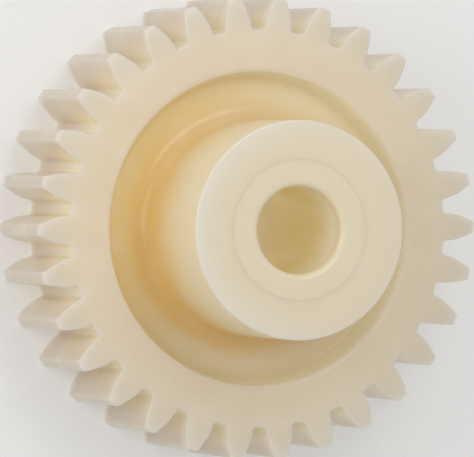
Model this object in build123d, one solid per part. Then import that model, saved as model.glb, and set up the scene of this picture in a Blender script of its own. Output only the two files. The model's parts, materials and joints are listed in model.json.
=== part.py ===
"""Moulded acetal spur gear with a one-sided hub and a sleeve pressed into its bore.

The gear lies on its back face with the hub up. Z is the bore axis, the origin is the centre
of the back face, and +X runs through the middle of a tooth. All sizes are in millimetres.
"""

from build123d import *
from math import acos, cos, pi, radians, sin, tan
import os

# Teeth: a standard full-depth 20 degree involute
MODULE = 1.0
TOOTH_COUNT = 30
PRESSURE_ANGLE = radians(20)
ADDENDUM = 1.0 * MODULE
DEDENDUM = 1.25 * MODULE
ROOT_FILLET = 0.28
TIP_ROUND = 0.08
FLANK_POINTS = 7

# Rim, web and hub
FACE_WIDTH = 9.0
HUB_STAND = 8.0  # how far the hub stands out of the rim's front face
HUB_R = 7.5
RECESS_R = 10.9
RECESS_DEPTH = 2.0
RECESS_DRAFT = 0.12  # how much smaller the recess is at its floor, so that it leaves the mould
HUB_FOOT_FILLET = 0.9
RECESS_FOOT_FILLET = 0.6
RECESS_LIP = 0.25
HUB_EDGE = 0.12
RIM_EDGE = 0.06

# Sleeve in the bore
BORE_R = 3.0
BORE_LEAD_IN = 0.4  # radius of the rounding at both mouths of the bore
SLEEVE_R = 4.8
JOINT_BREAK = 0.05  # edge break on both sides of the joint between sleeve and hub

# Places that follow from the sizes
PITCH_R = MODULE * TOOTH_COUNT / 2
BASE_R = PITCH_R * cos(PRESSURE_ANGLE)
TIP_R = PITCH_R + ADDENDUM
ROOT_R = PITCH_R - DEDENDUM
OVERALL_LENGTH = FACE_WIDTH + HUB_STAND
WEB_TOP = FACE_WIDTH - RECESS_DEPTH
WEB_BOTTOM = RECESS_DEPTH
TOOTH_PITCH = 2 * pi / TOOTH_COUNT


def involute(angle):
    return tan(angle) - angle


def flank_angle(radius):
    """Angle from a tooth's middle to its flank, at a radius on or outside the base circle."""
    half_at_pitch = TOOTH_PITCH / 4
    return half_at_pitch + involute(PRESSURE_ANGLE) - involute(acos(BASE_R / radius))


def polar(radius, angle):
    return (radius * cos(angle), radius * sin(angle))


def tooth_space():
    """The face cut away between two teeth, centred on +X: its floor, flanks and open top."""
    middle = TOOTH_PITCH / 2
    mouth_r = TIP_R + 0.3
    steps = [i / (FLANK_POINTS - 1) for i in range(FLANK_POINTS)]
    radii = [BASE_R + (mouth_r - BASE_R) * step for step in steps]
    angles = [middle - flank_angle(radius) for radius in radii]
    floor_half = middle - flank_angle(BASE_R)

    upper = Spline(*[polar(r, a) for r, a in zip(radii, angles)])
    lower = Spline(*[polar(r, -a) for r, a in zip(radii, angles)])
    mouth = Line(upper @ 1, lower @ 1)
    upper_foot = Line(upper @ 0, polar(ROOT_R, floor_half))
    lower_foot = Line(lower @ 0, polar(ROOT_R, -floor_half))
    floor = ThreePointArc(upper_foot @ 1, (ROOT_R, 0), lower_foot @ 1)
    space = make_face([upper, mouth, lower, lower_foot, floor, upper_foot])
    corners = [v for v in space.vertices() if abs(Vector(v).length - ROOT_R) < 1e-3]
    return fillet(corners, ROOT_FILLET)


def toothed_outline():
    """The gear's end view: a disc with every tooth space cut away and the tooth tips rounded."""
    turn = 180 / TOOTH_COUNT  # puts the middle of a tooth on +X
    spaces = PolarLocations(0, TOOTH_COUNT, start_angle=turn) * tooth_space()
    outline = Circle(TIP_R) - spaces
    tips = [v for v in outline.vertices() if abs(Vector(v).length - TIP_R) < 1e-3]
    return fillet(tips, TIP_ROUND)


def corner_at(face, radius, height):
    """The vertex of a section face nearest to a radius and height."""
    return min(face.vertices(), key=lambda v: (v.X - radius) ** 2 + (v.Z - height) ** 2)


def section(points, rounds, bevels):
    """A half section in the XZ plane from (radius, height) points, with some corners broken."""
    face = make_face(Polyline(*[(r, 0, z) for r, z in points], close=True))
    for (radius, height), size in rounds:
        face = fillet(corner_at(face, radius, height), size)
    for (radius, height), size in bevels:
        face = chamfer(corner_at(face, radius, height), size)
    return face


def gear_body():
    """The moulding: toothed rim, recessed web and hub, with the seat for the sleeve through it."""
    recess_foot_r = RECESS_R - RECESS_DRAFT
    seat_back = (SLEEVE_R, 0)
    seat_front = (SLEEVE_R, OVERALL_LENGTH)
    hub_top = (HUB_R, OVERALL_LENGTH)
    front_hub_foot = (HUB_R, WEB_TOP)
    front_recess_foot = (recess_foot_r, WEB_TOP)
    front_lip = (RECESS_R, FACE_WIDTH)
    front_tip = (TIP_R, FACE_WIDTH)
    back_tip = (TIP_R, 0)
    back_lip = (RECESS_R, 0)
    back_recess_foot = (recess_foot_r, WEB_BOTTOM)
    back_hub_foot = (HUB_R, WEB_BOTTOM)
    back_hub_edge = (HUB_R, 0)

    blank = section(
        [
            seat_back, seat_front, hub_top, front_hub_foot, front_recess_foot, front_lip,
            front_tip, back_tip, back_lip, back_recess_foot, back_hub_foot, back_hub_edge,
        ],
        rounds=[
            (hub_top, HUB_EDGE),
            (front_hub_foot, HUB_FOOT_FILLET),
            (front_recess_foot, RECESS_FOOT_FILLET),
            (front_lip, RECESS_LIP),
            (back_lip, RECESS_LIP),
            (back_recess_foot, RECESS_FOOT_FILLET),
            (back_hub_foot, HUB_FOOT_FILLET),
            (back_hub_edge, HUB_EDGE),
        ],
        bevels=[
            (seat_back, JOINT_BREAK),
            (seat_front, JOINT_BREAK),
            (front_tip, RIM_EDGE),
            (back_tip, RIM_EDGE),
        ],
    )
    teeth = extrude(toothed_outline(), OVERALL_LENGTH)
    return revolve(blank, Axis.Z) & teeth


def bore_sleeve():
    """The sleeve that lines the bore, flush with the hub at both ends, with rounded mouths."""
    tube = section(
        [(BORE_R, 0), (BORE_R, OVERALL_LENGTH), (SLEEVE_R, OVERALL_LENGTH), (SLEEVE_R, 0)],
        rounds=[
            ((BORE_R, 0), BORE_LEAD_IN),
            ((BORE_R, OVERALL_LENGTH), BORE_LEAD_IN),
        ],
        bevels=[
            ((SLEEVE_R, OVERALL_LENGTH), JOINT_BREAK),
            ((SLEEVE_R, 0), JOINT_BREAK),
        ],
    )
    return revolve(tube, Axis.Z)


def main():
    os.makedirs("parts", exist_ok=True)
    for name, shape in {"gear_body": gear_body(), "bore_sleeve": bore_sleeve()}.items():
        export_step(shape, f"parts/{name}.step")


main()
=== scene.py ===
import json
from math import acos, asin, atan2, ceil, cos, pi, radians, sin, tan

import bmesh
import bpy
from mathutils import Euler, Matrix, Vector


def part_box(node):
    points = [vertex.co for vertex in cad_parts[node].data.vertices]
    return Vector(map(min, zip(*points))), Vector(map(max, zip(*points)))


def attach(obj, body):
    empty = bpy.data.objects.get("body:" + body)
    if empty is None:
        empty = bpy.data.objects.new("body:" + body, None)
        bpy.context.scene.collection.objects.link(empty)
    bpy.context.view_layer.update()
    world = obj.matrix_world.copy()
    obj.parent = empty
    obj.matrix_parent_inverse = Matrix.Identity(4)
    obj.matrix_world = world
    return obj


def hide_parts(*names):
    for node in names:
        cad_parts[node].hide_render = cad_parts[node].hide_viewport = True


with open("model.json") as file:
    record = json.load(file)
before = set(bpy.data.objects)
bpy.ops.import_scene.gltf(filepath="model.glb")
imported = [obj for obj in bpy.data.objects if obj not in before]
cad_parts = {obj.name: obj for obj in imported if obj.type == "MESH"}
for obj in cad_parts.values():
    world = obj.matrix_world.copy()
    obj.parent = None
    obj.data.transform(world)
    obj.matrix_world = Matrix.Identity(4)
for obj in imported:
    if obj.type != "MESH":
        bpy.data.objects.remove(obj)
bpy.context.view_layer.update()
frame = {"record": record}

# A moulded acetal spur gear that lies on its back face. Geometry is worked out in millimetres in
# the CAD frame and turned into metres when a mesh is made.
MM = 0.001

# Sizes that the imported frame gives
MOUNTS = {mount["name"]: mount for mount in frame["record"]["mounts"]}
PITCH_R = MOUNTS["teeth"]["dims"]["r_mm"]
HUB_R = MOUNTS["hub_outside"]["dims"]["r_mm"]
BORE_R = MOUNTS["bore"]["dims"]["r_mm"]
FACE_WIDTH = MOUNTS["rim_front_face"]["pos_m"][2] / MM
LENGTH = MOUNTS["hub_face"]["pos_m"][2] / MM
TIP_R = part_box("gear_body")[1].x / MM
SLEEVE_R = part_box("bore_sleeve")[1].x / MM
LEAD_IN = (LENGTH - MOUNTS["bore"]["dims"]["length_mm"]) / 2

# Teeth
TEETH = 30
PITCH_ANGLE = 2 * pi / TEETH
PRESSURE_ANGLE = radians(20)
MODULE = 2 * PITCH_R / TEETH
DEDENDUM = 1.25 * MODULE
BASE_R = PITCH_R * cos(PRESSURE_ANGLE)
ROOT_R = PITCH_R - DEDENDUM
ROOT_FILLET = 0.28
TIP_ROUND = 0.12
RIM_EDGE = 0.07  # rounding between the teeth's end faces and their flanks

# Rim, web and hub
RECESS_R = 10.9
RECESS_DEPTH = 2.0
RECESS_DRAFT = 0.12  # how much smaller the recess is at its floor
RECESS_LIP = 0.3
RECESS_FOOT = 0.65
HUB_FOOT = 0.95
HUB_EDGE = 0.1
JOINT_EDGE = 0.01
SEAT_GAP = 0.003  # air between the sleeve and its seat, so that their walls don't coincide
WEB_FACE = FACE_WIDTH / 2 - RECESS_DEPTH  # how far the web's faces are from mid-width

# How finely the surfaces are divided
TIP_CELLS = 12
GAP_CELLS = 4
TIP_ROUND_CELLS = 3
INVOLUTE_CELLS = 8
ROOT_FILLET_CELLS = 5
RIM_EDGE_CELLS = 3
WALL_CELLS = 6
ARC_STEP = radians(15)
SMALL_ARC_STEP = radians(30)
SMALL_ARC = 0.2  # arcs up to this radius get the coarser step
LONGEST_CELL = 1.6
SUPPORT = 0.03  # an extra loop this far from each rounding keeps the shading of flat faces flat
WELD_DISTANCE = 0.001  # points nearer than this become one


def in_scene(name, data):
    """A new object in the scene that holds a mesh, a light or a camera."""
    obj = bpy.data.objects.new(name, data)
    bpy.context.scene.collection.objects.link(obj)
    return obj


# --- geometry ---------------------------------------------------------------------------------


def polar(radius, angle):
    return Vector((radius * cos(angle), radius * sin(angle)))


def involute(angle):
    return tan(angle) - angle


def flank_angle(radius):
    """Angle from a tooth's middle to its flank, at a radius on or outside the base circle."""
    return PITCH_ANGLE / 4 + involute(PRESSURE_ANGLE) - involute(acos(BASE_R / radius))


def fractions(cells):
    return [i / cells for i in range(cells + 1)]


def flank():
    """The +Y flank of the tooth on +X, from its tip to the root circle: (point, outward normal)."""
    samples = []

    # The rounding of the tip touches both the tip circle and the involute
    center_r = TIP_R - TIP_ROUND
    center_angle = flank_angle(center_r) - TIP_ROUND / BASE_R
    center = polar(center_r, center_angle)
    turn = pi / 2 - acos(BASE_R / center_r)
    for t in fractions(TIP_ROUND_CELLS):
        normal = polar(1, center_angle + turn * t)
        samples.append((center + TIP_ROUND * normal, normal))

    # The involute, from the rounding down to the base circle
    start_r = samples.pop()[0].length
    for t in fractions(INVOLUTE_CELLS):
        radius = start_r + (BASE_R - start_r) * t
        angle = flank_angle(radius)
        normal = polar(1, angle + pi / 2 - acos(min(1, BASE_R / radius)))
        samples.append((polar(radius, angle), normal))

    # The root fillet touches the radial line below the base circle and the root circle
    center_r = ROOT_R + ROOT_FILLET
    foot_angle = flank_angle(BASE_R)
    center_angle = foot_angle + asin(ROOT_FILLET / center_r)
    center = polar(center_r, center_angle)
    turn = foot_angle + pi / 2 - center_angle
    for t in fractions(ROOT_FILLET_CELLS):
        normal = polar(1, foot_angle + pi / 2 - turn * t)
        samples.append((center - ROOT_FILLET * normal, normal))
    return samples


FLANK = flank()


def flank_polar(inset):
    """The flank's samples as (radius, angle) after the outline shrinks by inset."""
    points = [point - inset * normal for point, normal in FLANK]
    return [(point.length, atan2(point.y, point.x)) for point in points]


def outline(inset, z):
    """The toothed outline as one closed loop of points at height z."""
    side = flank_polar(inset)
    tip_r, tip_angle = side[0]
    root_r, root_angle = side[-1]
    gap = PITCH_ANGLE - 2 * root_angle

    # Up the tooth's -Y flank, over its tip, down the +Y flank and across the gap
    loop = [(r, -a) for r, a in reversed(side)]
    loop += [(tip_r, tip_angle * (2 * t - 1)) for t in fractions(TIP_CELLS)[1:-1]]
    loop += side
    loop += [(root_r, root_angle + gap * t) for t in fractions(GAP_CELLS)[1:-1]]
    turned = [(r, a + tooth * PITCH_ANGLE) for tooth in range(TEETH) for r, a in loop]
    return [(r * cos(a), r * sin(a), z) for r, a in turned]


def tooth_faces(inset, z):
    """Each tooth's flat end face as rows of points from tip to root, one list of rows per tooth."""
    side = flank_polar(inset)
    for tooth in range(TEETH):
        middle = tooth * PITCH_ANGLE
        rows = []
        for r, a in side:
            angles = [middle + a * (2 * t - 1) for t in fractions(TIP_CELLS)]
            rows.append([(r * cos(b), r * sin(b), z) for b in angles])
        yield rows


def root_angles(inset):
    """Angles of the loop along the root circle, under the teeth and across the gaps."""
    root_angle = flank_polar(inset)[-1][1]
    gap = PITCH_ANGLE - 2 * root_angle
    under = [root_angle * (2 * t - 1) for t in fractions(TIP_CELLS)]
    across = [root_angle + gap * t for t in fractions(GAP_CELLS)[1:-1]]
    return [a + tooth * PITCH_ANGLE for tooth in range(TEETH) for a in under + across]


def circle(radius, z, angles):
    return [(radius * cos(a), radius * sin(a), z) for a in angles]


def divided(start, end):
    """Points from start to end, both left out, with a support point near each end."""
    length = (end - start).length
    if length < 3 * SUPPORT:
        return []
    along = (end - start) / length
    inner_start = start + SUPPORT * along
    inner_end = end - SUPPORT * along
    cells = ceil(length / LONGEST_CELL)
    return [inner_start.lerp(inner_end, t) for t in fractions(cells)]


def rounded(corners, closed=False):
    """A profile through (radius, height, rounding) corners, with arcs and support points."""
    corners = [(Vector((r, z)), size) for r, z, size in corners]

    # Each corner becomes a sharp point, or an arc that touches the lines to its two neighbours
    pieces = []
    for i, (corner, size) in enumerate(corners):
        before = corners[i - 1][0]
        after = corners[(i + 1) % len(corners)][0]
        if size == 0:
            pieces.append([corner])
            continue
        back = (before - corner).normalized()
        ahead = (after - corner).normalized()
        half = back.angle(ahead) / 2
        center = corner + (back + ahead).normalized() * size / sin(half)
        from_center = corner + back * size / tan(half) - center
        to_center = corner + ahead * size / tan(half) - center
        clockwise = from_center.angle_signed(to_center)
        cells = ceil(abs(clockwise) / (ARC_STEP if size > SMALL_ARC else SMALL_ARC_STEP))
        turns = [Matrix.Rotation(-clockwise * t, 2) for t in fractions(cells)]
        pieces.append([center + turn @ from_center for turn in turns])

    # Straight stretches join them
    points = []
    for i, piece in enumerate(pieces):
        points += piece
        if closed or i + 1 < len(pieces):
            points += divided(piece[-1], pieces[(i + 1) % len(pieces)][0])
    return [(p.x, p.y) for p in points]


def quads(rows, wrap_rows=False, wrap_columns=True):
    """Four-cornered faces between neighbouring rows of points, as lists of points."""
    last_row = len(rows) if wrap_rows else len(rows) - 1
    width = len(rows[0])
    last_column = width if wrap_columns else width - 1
    for i in range(last_row):
        a = rows[i]
        b = rows[(i + 1) % len(rows)]
        for j in range(last_column):
            k = (j + 1) % width
            yield (a[j], a[k], b[k], b[j])


def skin(name, faces):
    """A closed smooth mesh object from loose faces, welded along their shared points."""
    points = []
    indices = []
    for face in faces:
        indices.append(range(len(points), len(points) + len(face)))
        points += [(x * MM, y * MM, z * MM) for x, y, z in face]
    mesh = bpy.data.meshes.new(name)
    mesh.from_pydata(points, [], indices)
    work = bmesh.new()
    work.from_mesh(mesh)
    bmesh.ops.remove_doubles(work, verts=work.verts, dist=WELD_DISTANCE * MM)
    bmesh.ops.recalc_face_normals(work, faces=work.faces)
    work.to_mesh(mesh)
    work.free()
    mesh.shade_smooth()
    return in_scene(name, mesh)


def edge_levels():
    """(inset, height) of the loops down the toothed wall, rounded over at both end faces."""
    turns = [pi / 2 * t for t in fractions(RIM_EDGE_CELLS)]
    front = [(RIM_EDGE * (1 - sin(a)), FACE_WIDTH - RIM_EDGE * (1 - cos(a))) for a in turns]
    front.insert(0, (RIM_EDGE + SUPPORT, FACE_WIDTH))
    top = FACE_WIDTH - RIM_EDGE - SUPPORT
    bottom = RIM_EDGE + SUPPORT
    wall = [(0, top + (bottom - top) * t) for t in fractions(WALL_CELLS)]
    back = [(inset, FACE_WIDTH - z) for inset, z in reversed(front)]
    return front + wall + back


def gear_body():
    """The toothed rim, the recessed web and the hub as one closed skin."""
    flat_inset = RIM_EDGE + SUPPORT
    angles = root_angles(flat_inset)
    faces = list(quads([outline(inset, z) for inset, z in edge_levels()]))
    for z in (FACE_WIDTH, 0):
        for rows in tooth_faces(flat_inset, z):
            faces += quads(rows, wrap_columns=False)

    root_r = ROOT_R - flat_inset
    floor_r = RECESS_R - RECESS_DRAFT
    web_top = FACE_WIDTH - RECESS_DEPTH
    profile = rounded([
        (root_r, FACE_WIDTH, 0),
        (RECESS_R, FACE_WIDTH, RECESS_LIP),
        (floor_r, web_top, RECESS_FOOT),
        (HUB_R, web_top, HUB_FOOT),
        (HUB_R, LENGTH, HUB_EDGE),
        (SLEEVE_R + SEAT_GAP, LENGTH, JOINT_EDGE),
        (SLEEVE_R + SEAT_GAP, 0, JOINT_EDGE),
        (HUB_R, 0, HUB_EDGE),
        (HUB_R, RECESS_DEPTH, HUB_FOOT),
        (floor_r, RECESS_DEPTH, RECESS_FOOT),
        (RECESS_R, 0, RECESS_LIP),
        (root_r, 0, 0),
    ])
    faces += quads([circle(r, z, angles) for r, z in profile])
    return skin("Gear_body", faces)


def bore_sleeve():
    """The sleeve in the bore, rounded at both mouths."""
    count = TEETH * (TIP_CELLS + GAP_CELLS)
    angles = [2 * pi * i / count for i in range(count)]
    profile = rounded([
        (BORE_R, 0, LEAD_IN),
        (BORE_R, LENGTH, LEAD_IN),
        (SLEEVE_R, LENGTH, JOINT_EDGE),
        (SLEEVE_R, 0, JOINT_EDGE),
    ], closed=True)
    faces = quads([circle(r, z, angles) for r, z in profile], wrap_rows=True)
    return skin("Bore_sleeve", faces)


# --- materials --------------------------------------------------------------------------------

# Natural acetal scatters light deep inside. It looks paler where it is thin and open to light,
# at the teeth and the hub's end. Where it is thick and sheltered, in the recess and at the hub's
# foot, its amber is painted shade in the colour, deeper on the -X side; down the bore it is
# painted amber light. The hub face's edge has painted light on the -X side and painted shade on
# the +X side, the tooth roots and the recess wall have painted light, and the flanks have
# painted shade toward the back face.
RIM = (0.90, 0.79, 0.62)
TOOTH_END = (0.80, 0.70, 0.57)
# Painted light at the tooth roots, which evens out the shade between the teeth
TOOTH_ROOT_LIT = (1.0, 0.875, 0.69)
TOOTH_TIP = (0.67, 0.565, 0.44)
# Painted shade on the flanks toward the back face, next to the floor
TOOTH_BACK_SHADE = (0.64, 0.59, 0.50)
# Painted light on the recess wall, paler than the rim's face, for light let through the rim
RECESS_WALL_LIT = (1.0, 0.89, 0.75)
# Painted amber shade on the recess floor, deeper on the -X side
RECESS_FLOOR_SHADE = (1.0, 0.83, 0.56)
RECESS_FLOOR_DEEP_SHADE = (1.0, 0.75, 0.33)
# Painted amber shade at the hub's foot, deeper on the -X side
HUB_FOOT_SHADE = (0.93, 0.74, 0.41)
HUB_FOOT_DEEP_SHADE = (0.95, 0.66, 0.22)
HUB = (1.0, 0.85, 0.61)
# Painted shade at the hub face's edge on the +X side, painted light there on the -X side
HUB_EDGE_SHADE = (0.97, 0.80, 0.60)
HUB_EDGE_LIT = (1.0, 0.88, 0.71)
HUB_SIDE = (1.0, 0.82, 0.57)
HAZE = (1.0, 0.88, 0.72)
# Down the bore: painted amber light, painted shade toward the far end, painted light at the mouth
BORE_LIT = (1.0, 0.91, 0.52)
BORE_DEEP_SHADE = (0.82, 0.73, 0.46)
BORE_MOUTH_LIT = (1.0, 0.94, 0.80)

# How far the deeper side of the painted shade turns from -X towards +Y or -Y, and how strongly
# some colours cover others
SHADE_SLANT = 0.4
BACK_SHADE_COVER = 0.7
RECESS_SHADE_AT_WALL = 0.7
BODY_HAZE_COVER = 0.25
SLEEVE_HAZE_COVER = 0.2

# The moulded surface has a broad uneven haze and a fine grain, both in cells per millimetre
HAZE_SCALE = 0.35
HAZE_PATCH = (0.45, 0.75)  # the values of the haze over which a pale patch fades in
HAZE_SPREAD = (0.3, 0.7)  # and those over which the roughness changes
GRAIN_SCALE = 5.0
GRAIN_STRENGTH = 0.10
GRAIN_DEPTH = 0.01  # in millimetres
ROUGHNESS = (0.30, 0.38)
GLOSS = {"IOR": 1.5, "Specular IOR Level": 0.6, "Coat Weight": 0.2, "Coat Roughness": 0.15}

# How far light scatters, in millimetres, and how much of it does, beside the joint and far from it
SCATTER_RADIUS = (1.0, 1.0, 1.0)
BODY_SCATTER = 2.5
BODY_SCATTER_WEIGHTS = (0.15, 1.0)
SLEEVE_SCATTER = 1.2
SLEEVE_SCATTER_WEIGHTS = (0.1, 0.3)

# Places of the colour sockets on a Mix node, which has sockets of the same name for other data
MIX_FACTOR, MIX_A, MIX_B = 0, 6, 7
MIX_RESULT = 2


class Graph:
    """Makes and joins the nodes of one material."""

    def __init__(self, name):
        self.material = bpy.data.materials.new(name)
        self.material.use_nodes = True
        self.tree = self.material.node_tree
        self.shader = self.tree.nodes["Principled BSDF"]

    def node(self, kind, inputs=(), **settings):
        made = self.tree.nodes.new("ShaderNode" + kind)
        for key, value in settings.items():
            setattr(made, key, value)
        for socket, value in dict(inputs).items():
            self.give(made.inputs[socket], value)
        return made

    def give(self, socket, value):
        if isinstance(value, bpy.types.NodeSocket):
            self.tree.links.new(value, socket)
        else:
            socket.default_value = value

    def math(self, operation, *values):
        return self.node("Math", enumerate(values), operation=operation).outputs[0]

    def ramp(self, value, start, end, low=0.0, high=1.0):
        """Goes smoothly from low at start to high at end; start may be the larger of the two."""
        if start > end:
            start, end, low, high = end, start, high, low
        inputs = {"Value": value, "From Min": start, "From Max": end, "To Min": low, "To Max": high}
        return self.node("MapRange", inputs, interpolation_type="SMOOTHSTEP").outputs["Result"]

    def mix(self, factor, a, b):
        """Blends two colours, each a socket or three numbers."""
        a, b = [(*c, 1) if isinstance(c, tuple) else c for c in (a, b)]
        inputs = {MIX_FACTOR: factor, MIX_A: a, MIX_B: b}
        return self.node("Mix", inputs, data_type="RGBA").outputs[MIX_RESULT]

    def noise(self, place, scale, detail=2.0, distortion=0.0):
        inputs = {"Vector": place, "Scale": scale, "Detail": detail, "Distortion": distortion}
        return self.node("TexNoise", inputs).outputs["Fac"]


class Place:
    """Where a point is on the gear, in millimetres: radius, height and distance from mid-width."""

    def __init__(self, graph):
        coordinates = graph.node("TexCoord").outputs["Object"]
        scaled = graph.node("VectorMath", {0: coordinates, "Scale": 1 / MM}, operation="SCALE")
        self.point = scaled.outputs[0]
        split = graph.node("SeparateXYZ", {0: self.point})
        self.x, self.y, self.height = split.outputs
        x_square = graph.math("MULTIPLY", self.x, self.x)
        y_square = graph.math("MULTIPLY", self.y, self.y)
        squares = graph.math("ADD", x_square, y_square)
        self.radius = graph.math("SQRT", squares)
        from_middle = graph.math("SUBTRACT", self.height, FACE_WIDTH / 2)
        self.from_middle = graph.math("ABSOLUTE", from_middle)


def moulded_skin(graph, place):
    """Uneven gloss and the fine grain of a mould's satin surface. Gives back the haze."""
    haze = graph.noise(place.point, HAZE_SCALE, detail=3.0, distortion=0.6)
    grain = graph.noise(place.point, GRAIN_SCALE, detail=1.0)
    roughness = graph.ramp(haze, *HAZE_SPREAD, *ROUGHNESS)
    graph.give(graph.shader.inputs["Roughness"], roughness)
    inputs = {"Strength": GRAIN_STRENGTH, "Distance": GRAIN_DEPTH * MM, "Height": grain}
    graph.give(graph.shader.inputs["Normal"], graph.node("Bump", inputs).outputs[0])
    for socket, value in GLOSS.items():
        graph.shader.inputs[socket].default_value = value
    graph.shader.inputs["Subsurface Radius"].default_value = SCATTER_RADIUS
    return haze


def under_haze(graph, haze, color, cover):
    """The colour with the haze over it in patches."""
    return graph.mix(graph.ramp(haze, *HAZE_PATCH, 0, cover), color, HAZE)


# The ramps below go over radii, heights or places across the gear, in millimetres. Most start and
# end at or near its edges. How far past an edge a colour reaches was matched to the photo.


def inside_rim(graph, place):
    """1 within the recess, fading to 0 just outside its edge."""
    return graph.ramp(place.radius, RECESS_R + 0.2, RECESS_R)


def rim_color(graph, place):
    """The rim's faces, the tooth flanks and the wall of the recess, with painted light at the tooth
    roots and on the wall and painted shade on the flanks toward the back face.
    """
    toward_teeth = graph.ramp(place.radius, ROOT_R - 0.75, TIP_R)
    past_root = graph.ramp(place.radius, ROOT_R - 0.55, ROOT_R + 0.15)
    below_end = graph.ramp(place.from_middle, FACE_WIDTH / 2, FACE_WIDTH / 2 - 0.8)
    along_tooth = graph.ramp(place.radius, ROOT_R + 0.4, TIP_R)
    toward_back = graph.ramp(place.height, FACE_WIDTH - 1.5, 0, 0, BACK_SHADE_COVER)

    face = graph.mix(toward_teeth, RIM, TOOTH_END)
    # Painted light at the tooth roots
    flank = graph.mix(along_tooth, TOOTH_ROOT_LIT, TOOTH_TIP)
    # Painted shade on the flanks toward the back face
    flank = graph.mix(toward_back, flank, TOOTH_BACK_SHADE)
    outside = graph.mix(graph.math("MULTIPLY", past_root, below_end), face, flank)
    # Painted light on the recess wall
    return graph.mix(inside_rim(graph, place), outside, RECESS_WALL_LIT)


def hub_color(graph, place):
    """The hub's end face, with painted light at its edge on the -X side and painted shade at its
    edge on the +X side, and the hub's side.
    """
    toward_edge = graph.ramp(place.radius, SLEEVE_R + 0.4, HUB_R)
    lit_side = graph.ramp(place.x, 6, -6)
    below_face = graph.ramp(place.height, LENGTH, LENGTH - 0.3)

    # Painted light at the face's edge on the -X side, painted shade there on the +X side
    painted_edge = graph.mix(lit_side, HUB_EDGE_SHADE, HUB_EDGE_LIT)
    face = graph.mix(toward_edge, HUB, painted_edge)
    return graph.mix(below_face, face, HUB_SIDE)


def paint_recess_shade(graph, place, color):
    """The colour with the recess floor's painted amber shade over it, deeper to -X and +Y."""
    near_floor = graph.ramp(place.from_middle, WEB_FACE + 0.3, WEB_FACE)
    from_wall = graph.ramp(place.radius, RECESS_R, HUB_R + 1, RECESS_SHADE_AT_WALL, 1)
    across = graph.math("SUBTRACT", place.x, graph.math("MULTIPLY", place.y, SHADE_SLANT))
    shaded_side = graph.ramp(across, 0, -9)

    on_floor = graph.math("MULTIPLY", near_floor, inside_rim(graph, place))
    shade = graph.mix(shaded_side, RECESS_FLOOR_SHADE, RECESS_FLOOR_DEEP_SHADE)
    return graph.mix(graph.math("MULTIPLY", on_floor, from_wall), color, shade)


def paint_hub_foot_shade(graph, place, color):
    """The colour with the hub foot's painted amber shade over it, deeper on the -X and -Y side."""
    near_foot = graph.ramp(place.radius, HUB_R + HUB_FOOT + 0.9, HUB_R + 0.5)
    low_on_hub = graph.ramp(place.from_middle, WEB_FACE + 8, WEB_FACE - 1.5)
    above_back = graph.ramp(place.height, 0, RECESS_DEPTH)
    across = graph.math("ADD", place.x, graph.math("MULTIPLY", place.y, SHADE_SLANT))
    shaded_side = graph.ramp(across, 4, -9)

    at_foot = graph.math("MULTIPLY", near_foot, above_back)
    shade = graph.mix(shaded_side, HUB_FOOT_SHADE, HUB_FOOT_DEEP_SHADE)
    return graph.mix(graph.math("MULTIPLY", at_foot, low_on_hub), color, shade)


def body_acetal():
    """The gear body: painted amber shade in the recess and at the hub's foot, pale at the teeth
    and hub end.
    """
    graph = Graph("Acetal body")
    place = Place(graph)
    haze = moulded_skin(graph, place)

    on_hub = graph.ramp(place.radius, HUB_R + HUB_FOOT, HUB_R)
    color = graph.mix(on_hub, rim_color(graph, place), hub_color(graph, place))
    # Painted amber shade in the recess and at the hub's foot
    color = paint_recess_shade(graph, place, color)
    color = paint_hub_foot_shade(graph, place, color)
    color = under_haze(graph, haze, color, BODY_HAZE_COVER)
    graph.give(graph.shader.inputs["Base Color"], color)

    # Scattered light is lost at the joint with the sleeve, which darkens the face beside it, so
    # the scattering fades out toward the joint
    weight = graph.ramp(place.radius, SLEEVE_R, RECESS_R, *BODY_SCATTER_WEIGHTS)
    graph.give(graph.shader.inputs["Subsurface Weight"], weight)
    graph.shader.inputs["Subsurface Scale"].default_value = BODY_SCATTER * MM
    return graph.material


def sleeve_acetal():
    """The sleeve: cream on its end faces and painted amber light down the bore, with painted shade
    toward its far end and painted light at its mouth.
    """
    graph = Graph("Acetal sleeve")
    place = Place(graph)
    haze = moulded_skin(graph, place)

    on_bore = graph.ramp(place.radius, BORE_R + 0.1, BORE_R)
    below_mouth = graph.ramp(place.height, LENGTH - LEAD_IN, LENGTH - 1.5)
    above_far_end = graph.ramp(place.height, 1, 7)
    toward_mouth = graph.ramp(place.height, LENGTH - 6, LENGTH - 0.8)

    # Painted amber light down the bore, painted shade toward its far end, painted light at its
    # mouth
    bore = graph.mix(above_far_end, BORE_DEEP_SHADE, BORE_LIT)
    bore = graph.mix(toward_mouth, bore, BORE_MOUTH_LIT)
    color = graph.mix(graph.math("MULTIPLY", on_bore, below_mouth), HUB, bore)
    color = under_haze(graph, haze, color, SLEEVE_HAZE_COVER)
    graph.give(graph.shader.inputs["Base Color"], color)

    weight = graph.ramp(place.radius, SLEEVE_R, BORE_R + 0.5, *SLEEVE_SCATTER_WEIGHTS)
    graph.give(graph.shader.inputs["Subsurface Weight"], weight)
    graph.shader.inputs["Subsurface Scale"].default_value = SLEEVE_SCATTER * MM
    return graph.material


# --- stage ------------------------------------------------------------------------------------

# Lengths on the stage are in metres
WHITE = (1, 1, 1, 1)
FLOOR_HALF_SIDE = 1.5
FLOOR_COLOR = (0.82, 0.82, 0.81, 1)
FLOOR_ROUGHNESS = 0.8
FLOOR_GLOW = 0.22
SURROUNDINGS_STRENGTH = 0.490
LIGHT_BOUNCES = 12  # light goes back and forth many times in the recess and the bore
LIT_POINT = Vector((0, 0, 0.01))  # what the softboxes look at, just above the rim's face
UNDER_BORE_SIZE = 1.9 * BORE_R * MM  # a disc a little narrower than the bore
UNDER_BORE_HEIGHT = 0.2 * MM
UNDER_BORE_WATTS = 2.0e-5


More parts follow.
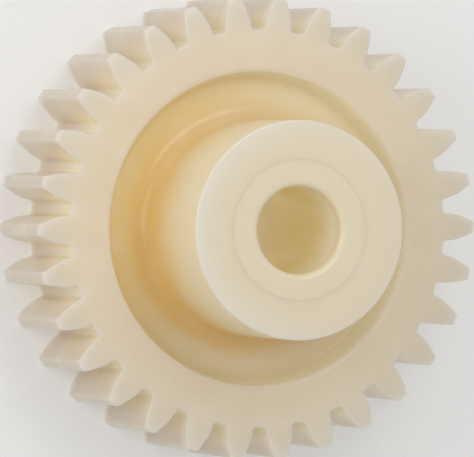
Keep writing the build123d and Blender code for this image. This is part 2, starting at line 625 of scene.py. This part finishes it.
def floor():
    """A pale floor that glows a little, as a lit table does."""
    mesh = bpy.data.meshes.new("Floor")
    half = FLOOR_HALF_SIDE
    corners = [(-half, -half, 0), (half, -half, 0), (half, half, 0), (-half, half, 0)]
    mesh.from_pydata(corners, [], [(0, 1, 2, 3)])
    material = bpy.data.materials.new("Pale floor")
    material.use_nodes = True
    shader = material.node_tree.nodes["Principled BSDF"]
    shader.inputs["Base Color"].default_value = FLOOR_COLOR
    shader.inputs["Roughness"].default_value = FLOOR_ROUGHNESS
    shader.inputs["Emission Color"].default_value = WHITE
    shader.inputs["Emission Strength"].default_value = FLOOR_GLOW
    mesh.materials.append(material)
    in_scene("Floor", mesh)


def softbox(name, azimuth, elevation, distance, size, watts):
    """A square area light that looks at the gear. Directions are in degrees, azimuth 0 being +X."""
    data = bpy.data.lights.new(name, "AREA")
    data.shape = "SQUARE"
    data.size = size
    data.energy = watts
    turn = radians(azimuth)
    rise = radians(elevation)
    toward = Vector((cos(rise) * cos(turn), cos(rise) * sin(turn), sin(rise)))
    obj = in_scene(name, data)
    obj.location = LIT_POINT + distance * toward
    obj.rotation_euler = toward.to_track_quat("Z", "Y").to_euler()


def light_under_bore():
    """The lit floor under the bore, bright enough to show down its whole length."""
    data = bpy.data.lights.new("Under bore", "AREA")
    data.shape = "DISK"
    data.size = UNDER_BORE_SIZE
    data.energy = UNDER_BORE_WATTS
    obj = in_scene("Under bore", data)
    obj.location = (0, 0, UNDER_BORE_HEIGHT)
    obj.rotation_euler = (pi, 0, 0)


def surroundings():
    """Even white light from all round."""
    world = bpy.data.worlds.new("Studio")
    world.use_nodes = True
    background = world.node_tree.nodes["Background"]
    background.inputs["Color"].default_value = WHITE
    background.inputs["Strength"].default_value = SURROUNDINGS_STRENGTH
    bpy.context.scene.world = world


# The camera looks down on the rim's front face, leaning over to the gear's -X side
CAMERA_DISTANCE = 0.4494  # from the aim
CAMERA_LEAN = Euler((radians(-0.882), radians(-20.019), radians(-0.166)))
CAMERA_AIM = Vector((-1.645, 0.014, FACE_WIDTH)) * MM
CAMERA_VIEW_WIDTH = 32.743 * MM  # what the picture's width takes in, at the aim


def camera():
    data = bpy.data.cameras.new("Camera")
    data.lens = data.sensor_width * CAMERA_DISTANCE / CAMERA_VIEW_WIDTH
    obj = in_scene("Camera", data)
    obj.rotation_euler = CAMERA_LEAN
    back = CAMERA_LEAN.to_matrix() @ Vector((0, 0, 1))
    obj.location = CAMERA_AIM + CAMERA_DISTANCE * back
    bpy.context.scene.camera = obj


def main():
    camera()
    bpy.context.scene.view_settings.view_transform = "Standard"
    bpy.context.scene.cycles.diffuse_bounces = LIGHT_BOUNCES

    body = gear_body()
    body.data.materials.append(body_acetal())
    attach(body, "root")
    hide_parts("gear_body")

    sleeve = bore_sleeve()
    sleeve.data.materials.append(sleeve_acetal())
    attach(sleeve, "root")
    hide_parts("bore_sleeve")

    floor()
    softbox("Overhead", azimuth=81, elevation=64, distance=0.10, size=0.045, watts=0.0180)
    softbox("Key", azimuth=165, elevation=30, distance=0.16, size=0.08, watts=0.042)
    light_under_bore()
    surroundings()


main()
